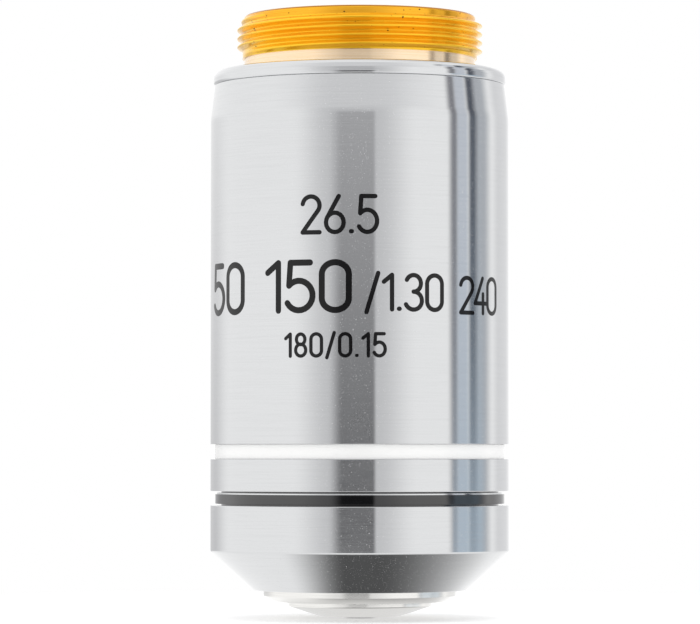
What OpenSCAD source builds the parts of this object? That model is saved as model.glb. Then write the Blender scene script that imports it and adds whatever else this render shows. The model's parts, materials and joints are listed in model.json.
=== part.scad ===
// Microscope objective of the oil-immersion, phase-contrast kind, for an infinity tube.
// All sizes are in millimetres. +Z points up, to the eyepiece. The origin is on the optical
// axis, in the plane of the shoulder that seats on the nosepiece. The front lens is at the bottom.
// Diameters are built up from the bore of the lens cells outwards, wall by wall.

/* [Optical standard] */
// Distance from the shoulder plane to the specimen
parfocal = 45; // [44:0.05:46]
// Distance from the front lens to the specimen
work_gap = 0.15; // [0.1:0.01:0.3]

/* [Mounting thread] */
// Wall of the thread ring from its bore to the crests of the 0.8 inch objective thread
thread_wall = 2.42; // [2.38:0.01:2.46]
// Pitch of the mounting thread, 36 turns to the inch
thread_pitch = 0.7056; // [0.6:0.01:0.8]
// Depth of the thread form
thread_depth = 0.45; // [0.4:0.01:0.5]
// Angle of each thread flank from the plane across the axis
flank_angle = 27.5; // [25:0.5:30]
// Height of the threaded stretch
thread_h = 2.85; // [2.2:0.05:3.4]
// How far the plain neck lies under the thread's crests, on the radius
neck_drop = 0.6; // [0.5:0.02:0.7]
// Height of the neck above the shoulder plane
neck_h = 1.0; // [0.8:0.05:1.4]
// How far the plain lead-in lies under the thread's crests, on the radius
lead_drop = 0.57; // [0.47:0.02:0.7]
// Height of the lead-in
lead_h = 0.7; // [0.5:0.05:1.2]
// Bevel on the top edge of the lead-in
lead_bevel = 0.15; // [0.05:0.05:0.3]
// Clearance of the thread ring round the lens barrel's upper tube, on the radius
tube_gap = 0.2; // [0.15:0.01:0.3]
// Wall of the thread ring's lower screw, inside the main body
ring_wall = 1.4; // [1.3:0.05:1.6]
// Depth of the thread ring's lower end below the shoulder plane
ring_screw_h = 5.9; // [5:0.1:7]

/* [Main body] */
// Thickness of the shoulder flange
flange_h = 1.2; // [0.9:0.05:1.6]
// How far the flange stands out from the top of the sleeve, on the radius
flange_step = 0.1; // [0.05:0.01:0.3]
// Rounding of the flange's upper edge
flange_round = 0.65; // [0.3:0.05:0.7]
// Rounding of the flange's lower edge
flange_foot_round = 0.2; // [0.1:0.05:0.3]
// Clearance round the thread's crests, of the relief in the seating face, on the radius
relief_gap = 0.23; // [0.15:0.01:0.4]
// Depth of the relief below the seating face
relief_h = 0.3; // [0.2:0.05:0.5]
// Wall of the guide tube between its lands
body_wall = 1.62; // [1.4:0.02:1.9]
// Height of the two lands that carry the outer sleeve, on the radius
land_rise = 0.6; // [0.4:0.05:0.8]
// Length of each land
land_h = 2.2; // [1.5:0.1:3]
// Wall of the guide tube's end, which the front cap is screwed on
cap_screw_wall = 1.07; // [0.9:0.01:1.15]
// Length of that screw inside the cap
cap_screw_h = 3.4; // [3:0.1:3.7]

/* [Outer sleeve] */
// Wall of the sleeve
sleeve_wall = 1.23; // [1:0.01:1.5]
// How far the sleeve's top edge lies inside its wall, under the flange, on the radius
taper_in = 0.35; // [0.2:0.01:0.5]
// Height of the sleeve's tapered top
taper_h = 2.85; // [2:0.05:4]
// Depth of the white band's upper edge below the top of the sleeve
band_drop = 29.54; // [20:0.02:30]
// Width of the white band and its groove
band_h = 1.22; // [0.8:0.02:1.5]
// Depth of the groove
band_depth = 0.55; // [0.4:0.01:0.7]
// Thickness of the white enamel
band_t = 0.13; // [0.08:0.01:0.25]
// Break on the sleeve's and the cap's turned edges
edge_break = 0.08; // [0.04:0.01:0.12]

/* [Black ring] */
// Height of the black ring
black_ring_h = 1.16; // [0.9:0.02:1.5]
// How far the black ring lies inside the sleeve's wall, on the radius
black_ring_sink = 0.4; // [0.2:0.02:0.6]

/* [Front cap] */
// Height of the cap's straight wall
cap_wall_h = 3.77; // [3.75:0.01:4.2]
// Height of the cap's cone
cap_cone_h = 3.2; // [2.9:0.05:3.4]
// Width of the flat face at the cone's lower end
cap_lip = 0.73; // [0.5:0.01:0.9]
// Thickness of the floor that the lens barrel rests on
cap_floor_h = 1.15; // [1:0.05:1.4]
// Clearance of the cap round the lens barrel's foot, on the radius
foot_gap = 0.2; // [0.1:0.02:0.3]

/* [Lens barrel] */
// Bore of the lens barrel for the lens cells
cell_bore_d = 13.2; // [13:0.05:13.4]
// Wall of the lens barrel's upper tube, inside the spring
tube_wall = 0.9; // [0.8:0.05:1.1]
// Length of each of the two sliding lands
slide_h = 5; // [4:0.1:6]
// How far the barrel is cut back between its lands, on the radius
waist_drop = 0.4; // [0.2:0.05:0.6]
// Width of the step from the lower land to the nose
nose_step = 0.88; // [0.7:0.01:1]
// How far the nose stands out of the cap
nose_reach = 0.93; // [0.8:0.01:1.2]
// Width of the nose's bevel
nose_bevel_w = 0.82; // [0.6:0.02:1]
// Height of the nose's bevel
nose_bevel_h = 0.47; // [0.3:0.01:0.6]
// Thickness of the ledge under the lens cells
ledge_h = 0.55; // [0.4:0.05:0.8]
// How far that ledge reaches over the meniscus cell
ledge_w = 1.1; // [0.9:0.05:1.3]
// Travel of the spring-loaded lens barrel
travel = 1.8; // [1:0.1:2]

/* [Return spring] */
// Diameter of the spring wire
wire_d = 0.8; // [0.6:0.05:0.85]
// Clearance of the coil inside and outside, on the radius
coil_gap = 0.25; // [0.2:0.01:0.3]
// Number of turns
coil_turns = 5.5; // [4.5:0.5:6]
// Length of the spring with the barrel at rest
spring_room = 7.1; // [7:0.1:8]

/* [Front mount] */
// Width of the step from the nose's lower edge to the mount's rim
mount_step = 1.2; // [1:0.05:1.4]
// Height of the rim
mount_rim_h = 0.4; // [0.3:0.02:0.6]
// Width of the rim's seat on the nose
mount_seat_w = 0.5; // [0.4:0.05:0.7]
// Width of the cone below the rim
mount_cone_w = 2.6; // [2:0.1:3]
// Height of the cone below the rim
mount_cone_h = 0.82; // [0.7:0.01:1]
// Wall of the mount's screw, round the pocket for the meniscus cell
pocket_wall = 1.1; // [0.9:0.05:1.3]
// Radius of the ball-shaped front lens
ball_r = 1.5; // [1.3:0.02:1.6]
// Height of the ball's centre above its flat face
ball_rise = 0.95; // [0.85:0.01:1.05]
// Air between the ball and the meniscus
front_gap = 0.17; // [0.1:0.01:0.4]

/* [Meniscus behind the front lens] */
// Diameter of the meniscus
meniscus_d = 4.6; // [4.4:0.05:4.8]
// Radius of its lower surface, hollow towards the front lens
meniscus_low_r = 3.6; // [3.4:0.05:4]
// Radius of its upper surface, domed
meniscus_top_r = 2.9; // [2.8:0.05:3.3]
// Its least thickness
meniscus_t = 0.9; // [0.7:0.05:1.1]
// Height of its cell
meniscus_cell_h = 1.91; // [1.8:0.01:2.1]

/* [Singlet] */
// Diameter of the singlet
singlet_d = 7.6; // [7.2:0.1:7.8]
// Radius of its lower surface, hollow
singlet_low_r = 12; // [10:0.5:16]
// Radius of its upper surface, domed
singlet_top_r = 4.9; // [4.7:0.05:5.4]
// Its least thickness
singlet_t = 0.8; // [0.6:0.05:1.1]

/* [Doublet] */
// Diameter of the doublet
doublet_d = 9.4; // [9:0.1:9.6]
// Radius of the flint's lower surface, hollow
doublet_low_r = 40; // [30:1:60]
// Radius of the cemented surface, hollow upwards
doublet_cement_r = 8.2; // [8:0.1:9]
// Radius of the crown's upper surface, domed
doublet_top_r = 7.6; // [7.2:0.1:8.4]
// Least thickness of the flint
doublet_flint_t = 0.8; // [0.7:0.05:1.2]
// Least thickness of the crown
doublet_crown_t = 0.5; // [0.4:0.05:0.8]

/* [Triplet] */
// Diameter of the triplet
triplet_d = 10.4; // [10:0.1:10.8]
// Radius of the lower crown's lower surface, domed downwards
triplet_low_r = 16; // [15:0.5:20]
// Radius of the lower cemented surface, domed upwards
triplet_lower_cement_r = 8; // [7.6:0.1:9]
// Radius of the upper cemented surface, hollow upwards
triplet_upper_cement_r = 9; // [8.4:0.1:10]
// Radius of the upper crown's upper surface, domed
triplet_top_r = 14; // [13:0.5:18]
// Least thickness of the lower crown
triplet_lower_crown_t = 0.4; // [0.3:0.05:0.6]
// Least thickness of the flint
triplet_flint_t = 0.9; // [0.8:0.05:1.2]
// Least thickness of the upper crown
triplet_upper_crown_t = 0.25; // [0.2:0.05:0.5]

/* [Rear doublet] */
// Diameter of the rear doublet
rear_doublet_d = 8.8; // [8.4:0.1:9]
// Radius of the crown's lower surface, domed downwards
rear_doublet_low_r = 14; // [13:0.5:18]
// Radius of the cemented surface, domed upwards
rear_doublet_cement_r = 10; // [9:0.1:11]
// Radius of the flint's upper surface, domed
rear_doublet_top_r = 60; // [50:1:80]
// Least thickness of the crown
rear_doublet_crown_t = 0.65; // [0.5:0.05:0.9]
// Least thickness of the flint
rear_doublet_flint_t = 0.9; // [0.8:0.05:1.2]

/* [Phase plate] */
// Diameter of the two plane plates
plate_d = 9.4; // [9:0.1:9.6]
// Thickness of each plate
plate_t = 0.9; // [0.8:0.05:1.1]
// Mean diameter of the phase annulus
annulus_d = 5.8; // [5:0.1:6.4]
// Width of the phase annulus
annulus_w = 0.7; // [0.5:0.05:0.9]
// Thickness of the absorbing film
film_t = 0.05; // [0.04:0.01:0.08]

/* [Corrector] */
// Diameter of the thick corrector
corrector_d = 8; // [7.6:0.1:8.2]
// Radius of the crown's lower surface, domed downwards
corrector_low_r = 7; // [6.4:0.1:8]
// Radius of the cemented surface, domed upwards
corrector_cement_r = 18; // [16:0.5:22]
// Radius of the flint's upper surface, hollow upwards
corrector_top_r = 6; // [5.4:0.1:7]
// Least thickness of the crown
corrector_crown_t = 0.9; // [0.7:0.05:1.2]
// Least thickness of the flint
corrector_flint_t = 1.4; // [1.2:0.05:1.6]

/* [Rear lens] */
// Diameter of the rear lens
rear_lens_d = 8.4; // [8:0.1:8.6]
// Radius of its lower surface, hollow
rear_lens_low_r = 8; // [7.4:0.1:9]
// Radius of its upper surface, domed
rear_lens_top_r = 30; // [25:1:40]
// Its least thickness
rear_lens_t = 1.6; // [1.4:0.05:2]

/* [Cells and fittings] */
// Air left above each lens group
air_gap = 0.35; // [0.2:0.05:0.5]
// Height of the lip that a lens rests on
lip_h = 0.4; // [0.3:0.05:0.5]
// Width of that lip
lip_w = 0.35; // [0.25:0.05:0.45]
// Height of the spacer that holds the light stop
spacer_h = 4.0; // [3.4:0.1:4.6]
// Wall of the spacer
spacer_wall = 1.4; // [1:0.1:1.8]
// Opening of the light stop
stop_d = 6.6; // [6:0.1:7.4]
// Thickness of the light stop
stop_t = 0.4; // [0.3:0.05:0.6]
// Height of the retaining ring
retainer_h = 2.0; // [1.6:0.1:2.4]
// Wall of the retaining ring
retainer_wall = 1.9; // [1.6:0.05:2]
// Width of the two spanner slots in the retaining ring
spanner_w = 1.2; // [0.8:0.1:1.5]
// Depth of the spanner slots
spanner_h = 0.8; // [0.5:0.05:1]
// Depth of the retaining ring below the lens barrel's top edge
retainer_drop = 0.2; // [0.1:0.05:0.5]
// Diameter of the three centring screws
centring_d = 1.6; // [1.4:0.1:1.8]
// Play of the centred cell in the lens barrel, on the diameter
centring_play = 0.3; // [0.2:0.05:0.4]
// Clearance of a screwdriver's way in to the centring screws, on the radius
driver_gap = 0.12; // [0.05:0.01:0.2]
// Diameter of the guide screw's plain head
guide_d = 2.0; // [1.6:0.1:2.2]
// Diameter of the guide screw's thread
guide_thread_d = 1.4; // [1.2:0.1:1.5]
// Depth of the guide screw below the spring's lower seat
guide_drop = 12.5; // [11:0.1:14]

/* [Fits] */
// Clearance of a part that is screwed or glued in, on the radius
seat_gap = 0.02; // [0.01:0.005:0.03]
// Clearance of a part that slides, on the radius
slide_gap = 0.03; // [0.02:0.005:0.04]
// Clearance of the nose in the cap, on the radius
nose_gap = 0.1; // [0.08:0.01:0.15]
// Thickness of a cement layer between two lenses
cement_gap = 0.02; // [0.01:0.005:0.03]

/* [Hidden] */
$fn = 96;

// Segments of a circle in the lenses, whose surfaces have long radii
LENS_FN = 240;

// Colours of the finishes
gold = [0.87, 0.58, 0.13];
chrome = [0.80, 0.80, 0.81];
satin = [0.74, 0.74, 0.75];
white = [0.95, 0.95, 0.94];
black = [0.09, 0.09, 0.10];
brass = [0.72, 0.58, 0.33];
steel = [0.62, 0.63, 0.65];
glass = [0.80, 0.88, 0.90, 0.5];

// Diameters of the lens barrel and of what fits round it
tube_d = cell_bore_d + 2 * tube_wall;
coil_d = tube_d + wire_d + 2 * coil_gap;
slide_d = coil_d + wire_d + 2 * coil_gap;
waist_d = slide_d - 2 * waist_drop;
nose_d = slide_d - 2 * nose_step;
nose_end_d = nose_d - 2 * nose_bevel_w;
mount_d = nose_end_d - 2 * mount_step;
tip_d = mount_d - 2 * mount_cone_w;
mount_screw_d = mount_d - 2 * mount_seat_w;
mount_pocket_d = mount_screw_d - 2 * pocket_wall;
ledge_d = mount_pocket_d - 2 * ledge_w;
retainer_d = cell_bore_d - 2 * retainer_wall;

// Diameters of the housing. The thread comes to 20.24, the sleeve to 24.6 and the flange to 24.1.
guide_bore_d = slide_d + 2 * slide_gap;
body_d = guide_bore_d + 2 * body_wall;
land_d = body_d + 2 * land_rise;
sleeve_bore_d = land_d + 2 * seat_gap;
sleeve_d = sleeve_bore_d + 2 * sleeve_wall;
sleeve_top_d = sleeve_d - 2 * taper_in;
flange_d = sleeve_top_d + 2 * flange_step;
band_floor_d = sleeve_d - 2 * band_depth;
band_bore_d = band_floor_d + 2 * seat_gap;
black_ring_d = sleeve_d - 2 * black_ring_sink;
cap_screw_d = guide_bore_d + 2 * cap_screw_wall;
cap_screw_bore_d = cap_screw_d + 2 * seat_gap;
cap_bore_d = slide_d + 2 * foot_gap;
cap_hole_d = nose_d + 2 * nose_gap;
cap_end_d = cap_hole_d + 2 * cap_lip;
rear_bore_d = tube_d + 2 * tube_gap;
thread_d = rear_bore_d + 2 * thread_wall;
ring_screw_d = rear_bore_d + 2 * ring_wall;
neck_d = thread_d - 2 * neck_drop;
lead_d = thread_d - 2 * lead_drop;
relief_d = thread_d + 2 * relief_gap;

// Height of a surface's rim above its vertex, negative when the rim is lower. A negative radius
// has its centre below the surface, and radius 0 is flat.
function rim_rise(r, half) = r == 0 ? 0 : sign(r) * (abs(r) - sqrt(r * r - half * half));

// Thickness on the axis of a lens that is thin_t thick where it is thinnest
function axis_t(r_low, r_high, thin_t, half) =
    thin_t + max(0, rim_rise(r_low, half) - rim_rise(r_high, half));

// A lens group: its diameter, the radii of its surfaces, and its thicknesses on the axis
function lens_group(d, radii, thin) = [
    d,
    radii,
    [for (k = [0 : len(thin) - 1]) axis_t(radii[k], radii[k + 1], thin[k], d / 2)]
];

// Lens groups from the front to the rear
MENISCUS = lens_group(meniscus_d, [-meniscus_low_r, -meniscus_top_r], [meniscus_t]);
SINGLET = lens_group(singlet_d, [-singlet_low_r, -singlet_top_r], [singlet_t]);
DOUBLET = lens_group(doublet_d, [-doublet_low_r, doublet_cement_r, -doublet_top_r],
    [doublet_flint_t, doublet_crown_t]);
TRIPLET = lens_group(triplet_d,
    [triplet_low_r, -triplet_lower_cement_r, triplet_upper_cement_r, -triplet_top_r],
    [triplet_lower_crown_t, triplet_flint_t, triplet_upper_crown_t]);
REAR_DOUBLET = lens_group(rear_doublet_d,
    [rear_doublet_low_r, -rear_doublet_cement_r, -rear_doublet_top_r],
    [rear_doublet_crown_t, rear_doublet_flint_t]);
PLATES = lens_group(plate_d, [0, 0, 0], [plate_t, plate_t]);
CORRECTOR = lens_group(corrector_d, [corrector_low_r, -corrector_cement_r, corrector_top_r],
    [corrector_crown_t, corrector_flint_t]);
REAR_LENS = lens_group(rear_lens_d, [-rear_lens_low_r, -rear_lens_top_r], [rear_lens_t]);

// Planes of the sliding lens barrel at rest, counted up from the tip
tip_z = -(parfocal - work_gap);
ball_z = tip_z + ball_rise;
mount_rim_z = tip_z + mount_cone_h;
nose_end_z = mount_rim_z + mount_rim_h;
meniscus_z = ball_z + ball_r + front_gap;
pocket_z = meniscus_z + rim_rise(-meniscus_low_r, meniscus_d / 2) - seat_gap;
mount_top_z = pocket_z + meniscus_cell_h + 2 * seat_gap;
stack_z = mount_top_z + ledge_h;

// Planes of the fixed housing. The sleeve fills what the other lengths leave, 33.37.
cap_end_z = nose_end_z + nose_reach;
cap_floor_z = cap_end_z + cap_floor_h;
cap_edge_z = cap_end_z + cap_cone_h;
ring_end_z = cap_edge_z + cap_wall_h;
body_end_z = ring_end_z - cap_screw_h;
sleeve_end_z = ring_end_z + black_ring_h;
sleeve_top_z = -flange_h;
band_z = sleeve_top_z - band_drop - band_h;
ring_screw_end_z = -ring_screw_h;
thread_top_z = neck_h + thread_h;
ring_top_z = thread_top_z + lead_h;
spring_seat_z = ring_screw_end_z - spring_room;
guide_z = spring_seat_z - guide_drop;

// Sum of a list's first n numbers
function sum_to(list, n) = n <= 0 ? 0 : list[n - 1] + sum_to(list, n - 1);

function first(list) = list[0];
function last(list) = list[len(list) - 1];

// The layer between two elements of a group: cement, and the film where there is one
function layer(group) = group == PLATES ? film_t + 2 * cement_gap : cement_gap;

// Height of element k's lower vertex above the group's lowest vertex
function element_rise(group, k) = sum_to(group[2], k) + k * layer(group);

function group_h(group) =
    element_rise(group, len(group[2]) - 1) + last(group[2]);

// Height of a group's lowest vertex above the floor of its cell. A hollow or flat lens rests
// on the lip with its rim, and a domed one with the circle at the lip's inner edge.
function vertex_rise(group) =
    let (r = first(group[1]))
    lip_h - rim_rise(r, group[0] / 2 - (r > 0 ? lip_w : 0));

// Lowest and highest points of a group above the floor of its cell
function group_low(group) = min(lip_h, vertex_rise(group));
function group_top(group) =
    vertex_rise(group) + group_h(group) + max(0, rim_rise(last(group[1]), group[0] / 2));

// Height of the cell under the next group, which may dip below its own cell
function cell_h(group, next) = group_top(group) + air_gap - min(0, group_low(next));

// Floors of the cells, each standing on the one below
singlet_z = stack_z;
doublet_z = singlet_z + cell_h(SINGLET, DOUBLET);
triplet_z = doublet_z + cell_h(DOUBLET, TRIPLET);
spacer_z = triplet_z + cell_h(TRIPLET, REAR_LENS);
rear_doublet_z = spacer_z + spacer_h;
phase_z = rear_doublet_z + cell_h(REAR_DOUBLET, PLATES);
corrector_z = phase_z + cell_h(PLATES, CORRECTOR);
rear_lens_z = corrector_z + cell_h(CORRECTOR, REAR_LENS);
retainer_z = rear_lens_z + cell_h(REAR_LENS, PLATES);
barrel_top_z = retainer_z + retainer_h + retainer_drop;
centring_z = (doublet_z + triplet_z) / 2;

// Points of an arc from angle a to angle b, in a few steps
ARC_STEPS = 6;
function arc(x, y, r, a, b) =
    [for (i = [0 : ARC_STEPS]) let (t = a + (b - a) * i / ARC_STEPS)
        [x + r * cos(t), y + r * sin(t)]];

// A turned piece: the profile holds radius and height
module turned(profile) {
    rotate_extrude() polygon(profile);
}

// A plain ring that stands on z
module ring(outer_d, inner_d, z, h) {
    turned([[inner_d / 2, z], [outer_d / 2, z], [outer_d / 2, z + h], [inner_d / 2, z + h]]);
}

// A round hole along a radius, from inner_r out to outer_r
module radial_rod(d, inner_r, outer_r) {
    rotate([0, 90, 0]) translate([0, 0, inner_r]) cylinder(d = d, h = outer_r - inner_r);
}

// One lens: its lower vertex is at z, and its rim stands as low and as high as its surfaces ask
module lens(d, r_low, r_high, t, z) {
    $fn = LENS_FN;
    low = z + min(0, rim_rise(r_low, d / 2));
    high = z + t + max(0, rim_rise(r_high, d / 2));
    difference() {
        intersection() {
            translate([0, 0, low]) cylinder(d = d, h = high - low);
            if (r_low > 0) translate([0, 0, z + r_low]) sphere(r = r_low);
            if (r_high < 0) translate([0, 0, z + t + r_high]) sphere(r = -r_high);
        }
        if (r_low < 0) translate([0, 0, z + r_low]) sphere(r = -r_low);
        if (r_high > 0) translate([0, 0, z + t + r_high]) sphere(r = r_high);
    }
}

// Element k of a group whose cell stands on z
module element(group, k, z) {
    color(glass)
        lens(group[0], group[1][k], group[1][k + 1], group[2][k],
            z + vertex_rise(group) + element_rise(group, k));
}

// A cell: a ring bored for its group, with a lip below that the lenses rest on
module cell(group, z, h, outer_d = cell_bore_d - 2 * seat_gap) {
    color(black) turned([
        [group[0] / 2 - lip_w, z],
        [outer_d / 2, z],
        [outer_d / 2, z + h],
        [group[0] / 2 + seat_gap, z + h],
        [group[0] / 2 + seat_gap, z + lip_h],
        [group[0] / 2 - lip_w, z + lip_h]
    ]);
}

// Gold-coloured ring with the objective thread, as rings of the thread's own section and pitch
module thread_ring() {
    crest_r = thread_d / 2;
    root_r = crest_r - thread_depth;
    flank = thread_depth * tan(flank_angle);
    crest_w = (thread_pitch - 2 * flank) / 2;
    count = floor(thread_h / thread_pitch);
    margin = (thread_h - count * thread_pitch) / 2;
    color(gold) turned(concat(
        [
            [rear_bore_d / 2, ring_screw_end_z],
            [ring_screw_d / 2, ring_screw_end_z],
            [ring_screw_d / 2, -relief_h],
            [neck_d / 2, -relief_h],
            [neck_d / 2, neck_h],
            [root_r, neck_h]
        ],
        [for (i = [0 : count - 1])
            let (z = neck_h + margin + i * thread_pitch + crest_w / 2)
            for (p = [[root_r, z], [crest_r, z + flank], [crest_r, z + flank + crest_w],
                [root_r, z + 2 * flank + crest_w]]) p],
        [
            [root_r, thread_top_z],
            [lead_d / 2, thread_top_z],
            [lead_d / 2, ring_top_z - lead_bevel],
            [lead_d / 2 - lead_bevel, ring_top_z],
            [rear_bore_d / 2, ring_top_z]
        ]
    ));
}

// Flange and guide tube in one piece. The flange's top is the seat on the nosepiece.
module main_body() {
    half = flange_d / 2;
    color(chrome) difference() {
        turned(concat(
            [
                [guide_bore_d / 2, body_end_z],
                [cap_screw_d / 2, body_end_z],
                [cap_screw_d / 2, sleeve_end_z],
                [land_d / 2, sleeve_end_z],
                [land_d / 2, sleeve_end_z + land_h],
                [body_d / 2, sleeve_end_z + land_h],
                [body_d / 2, sleeve_top_z - land_h],
                [land_d / 2, sleeve_top_z - land_h],
                [land_d / 2, sleeve_top_z]
            ],
            arc(
                half - flange_foot_round, sleeve_top_z + flange_foot_round, flange_foot_round,
                -90, 0
            ),
            arc(half - flange_round, -flange_round, flange_round, 0, 90),
            [
                [relief_d / 2, 0],
                [relief_d / 2, -relief_h],
                [ring_screw_d / 2 + seat_gap, -relief_h],
                [ring_screw_d / 2 + seat_gap, ring_screw_end_z - seat_gap],
                [guide_bore_d / 2, ring_screw_end_z - seat_gap]
            ]
        ));
        guide_slot();
        for (a = [60, 180, 300])
            rotate(a) translate([0, 0, centring_z])
                radial_rod(centring_d + 2 * driver_gap, waist_d / 2, land_d / 2);
    }
}

// Slot through the guide tube, as long as the guide screw's travel
module guide_slot() {
    slot_w = guide_d + 2 * slide_gap;
    for (z = [guide_z, guide_z + travel])
        translate([0, 0, z]) radial_rod(slot_w, waist_d / 2, land_d / 2);
    translate([waist_d / 2, -slot_w / 2, guide_z])
        cube([(land_d - waist_d) / 2, slot_w, travel]);
}

// Sleeve with a tapered top and a groove for the white band
module outer_sleeve() {
    r = sleeve_d / 2;
    bore_r = sleeve_bore_d / 2;
    color(satin) turned([
        [bore_r, sleeve_end_z],
        [r - edge_break, sleeve_end_z],
        [r, sleeve_end_z + edge_break],
        [r, band_z],
        [band_floor_d / 2, band_z],
        [band_floor_d / 2, band_z + band_h],
        [r, band_z + band_h],
        [r, sleeve_top_z - taper_h],
        [sleeve_top_d / 2, sleeve_top_z - edge_break],
        [sleeve_top_d / 2 - edge_break, sleeve_top_z],
        [bore_r, sleeve_top_z]
    ]);
}

// White enamel in the sleeve's groove
module white_band() {
    color(white) ring(band_bore_d + 2 * band_t, band_bore_d, band_z, band_h);
}

// Black ring clamped between the sleeve and the cap
module black_ring() {
    color(black) ring(black_ring_d, cap_screw_bore_d, ring_end_z, black_ring_h);
}

// Cap with a cone, whose floor stops the lens barrel
module front_cap() {
    r = sleeve_d / 2;
    screw_r = cap_screw_bore_d / 2;
    color(satin) turned([
        [cap_hole_d / 2, cap_end_z],
        [cap_end_d / 2, cap_end_z],
        [r, cap_edge_z],
        [r, ring_end_z - edge_break],
        [r - edge_break, ring_end_z],
        [screw_r, ring_end_z],
        [screw_r, body_end_z - seat_gap],
        [cap_bore_d / 2, body_end_z - seat_gap],
        [cap_bore_d / 2, cap_floor_z],
        [cap_hole_d / 2, cap_floor_z]
    ]);
}

// Rise of the spring's wire after n turns. The end turns are closed.
closed_turns = 1;
closed_pitch = wire_d * 1.03;
open_turns = coil_turns - 2 * closed_turns;
open_pitch = (spring_room - wire_d - 2 * closed_turns * closed_pitch) / open_turns;
function wire_rise(n) =
    closed_pitch * min(n, closed_turns)
    + open_pitch * max(0, min(n - closed_turns, open_turns))
    + closed_pitch * max(0, n - closed_turns - open_turns);

// Steps of the coil in a turn, and sides of the wire
COIL_STEPS = 24;
WIRE_SIDES = 10;

// Compression spring, swept along its helix
module return_spring() {
    rings = round(COIL_STEPS * coil_turns);
    mid_r = coil_d / 2;
    points = [
        for (i = [0 : rings], j = [0 : WIRE_SIDES - 1])
            let (
                a = 360 * i / COIL_STEPS,
                b = 360 * (j + 0.5) / WIRE_SIDES,
                r = mid_r + wire_d / 2 * cos(b),
                z = spring_seat_z + wire_d / 2 + wire_rise(i / COIL_STEPS)
            )
            [r * cos(a), r * sin(a), z + wire_d / 2 * sin(b)]
    ];
    sides = [
        for (i = [0 : rings - 1], j = [0 : WIRE_SIDES - 1])
            let (k = (j + 1) % WIRE_SIDES, a = i * WIRE_SIDES, b = (i + 1) * WIRE_SIDES)
            [a + j, b + j, b + k, a + k]
    ];
    start = [for (j = [0 : WIRE_SIDES - 1]) j];
    end = [for (j = [WIRE_SIDES - 1 : -1 : 0]) rings * WIRE_SIDES + j];
    color(steel) polyhedron(points = points, faces = concat(sides, [start, end]));
}

// Sliding barrel that carries every lens. Its nose shows below the cap.
module lens_barrel() {
    nose_r = nose_d / 2;
    slide_r = slide_d / 2;
    screw_r = mount_screw_d / 2 + seat_gap;
    color(chrome) difference() {
        turned([
            [screw_r, nose_end_z],
            [nose_end_d / 2, nose_end_z],
            [nose_r, nose_end_z + nose_bevel_h],
            [nose_r, cap_floor_z],
            [slide_r, cap_floor_z],
            [slide_r, cap_floor_z + slide_h],
            [waist_d / 2, cap_floor_z + slide_h],
            [waist_d / 2, spring_seat_z - slide_h],
            [slide_r, spring_seat_z - slide_h],
            [slide_r, spring_seat_z],
            [tube_d / 2, spring_seat_z],
            [tube_d / 2, barrel_top_z],
            [cell_bore_d / 2, barrel_top_z],
            [cell_bore_d / 2, stack_z],
            [ledge_d / 2, stack_z],
            [ledge_d / 2, mount_top_z],
            [screw_r, mount_top_z]
        ]);
        for (a = [60, 180, 300])
            rotate(a) translate([0, 0, centring_z])
                radial_rod(centring_d + 2 * seat_gap, ledge_d / 2, slide_r);
        translate([0, 0, guide_z])
            radial_rod(guide_thread_d + 2 * seat_gap, ledge_d / 2, slide_r);
    }
}

// Mount of the front lens, screwed into the nose
module front_mount() {
    ball_bore_r = ball_r + seat_gap;
    color(chrome) difference() {
        turned([
            [0, tip_z],
            [tip_d / 2, tip_z],
            [mount_d / 2, mount_rim_z],
            [mount_d / 2, nose_end_z],
            [mount_screw_d / 2, nose_end_z],
            [mount_screw_d / 2, mount_top_z],
            [mount_pocket_d / 2, mount_top_z],
            [mount_pocket_d / 2, pocket_z],
            [0, pocket_z]
        ]);
        translate([0, 0, ball_z]) sphere(r = ball_bore_r, $fn = LENS_FN);
        translate([0, 0, ball_z]) cylinder(r = ball_bore_r, h = mount_top_z - ball_z);
    }
}

// Front lens: a ball with a flat ground on it
module front_lens() {
    color(glass) intersection() {
        translate([0, 0, ball_z]) sphere(r = ball_r, $fn = LENS_FN);
        translate([0, 0, tip_z]) cylinder(r = 2 * ball_r, h = 2 * ball_r);
    }
}

module meniscus_cell() {
    color(black)
        ring(mount_pocket_d - 2 * seat_gap, meniscus_d + 2 * seat_gap, pocket_z,
            meniscus_cell_h);
}

module meniscus_lens() {
    color(glass) lens(MENISCUS[0], MENISCUS[1][0], MENISCUS[1][1], MENISCUS[2][0], meniscus_z);
}

module singlet_cell() {
    cell(SINGLET, singlet_z, doublet_z - singlet_z);
}

module singlet_lens() {
    element(SINGLET, 0, singlet_z);
}

// This cell has play in the barrel, and three screws centre it
module doublet_cell() {
    cell(DOUBLET, doublet_z, triplet_z - doublet_z, cell_bore_d - centring_play);
}

module doublet_flint() {
    element(DOUBLET, 0, doublet_z);
}

module doublet_crown() {
    element(DOUBLET, 1, doublet_z);
}

module triplet_cell() {
    cell(TRIPLET, triplet_z, spacer_z - triplet_z);
}

module triplet_lower_crown() {
    element(TRIPLET, 0, triplet_z);
}

module triplet_flint() {
    element(TRIPLET, 1, triplet_z);
}

module triplet_upper_crown() {
    element(TRIPLET, 2, triplet_z);
}

// Spacer with a light stop half way up
module stop_spacer() {
    outer_r = cell_bore_d / 2 - seat_gap;
    inner_r = outer_r - spacer_wall;
    stop_z = spacer_z + (spacer_h - stop_t) / 2;
    color(black) turned([
        [inner_r, spacer_z],
        [outer_r, spacer_z],
        [outer_r, spacer_z + spacer_h],
        [inner_r, spacer_z + spacer_h],
        [inner_r, stop_z + stop_t],
        [stop_d / 2, stop_z + stop_t],
        [stop_d / 2, stop_z],
        [inner_r, stop_z]
    ]);
}

module rear_doublet_cell() {
    cell(REAR_DOUBLET, rear_doublet_z, phase_z - rear_doublet_z);
}

module rear_doublet_crown() {
    element(REAR_DOUBLET, 0, rear_doublet_z);
}

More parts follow.
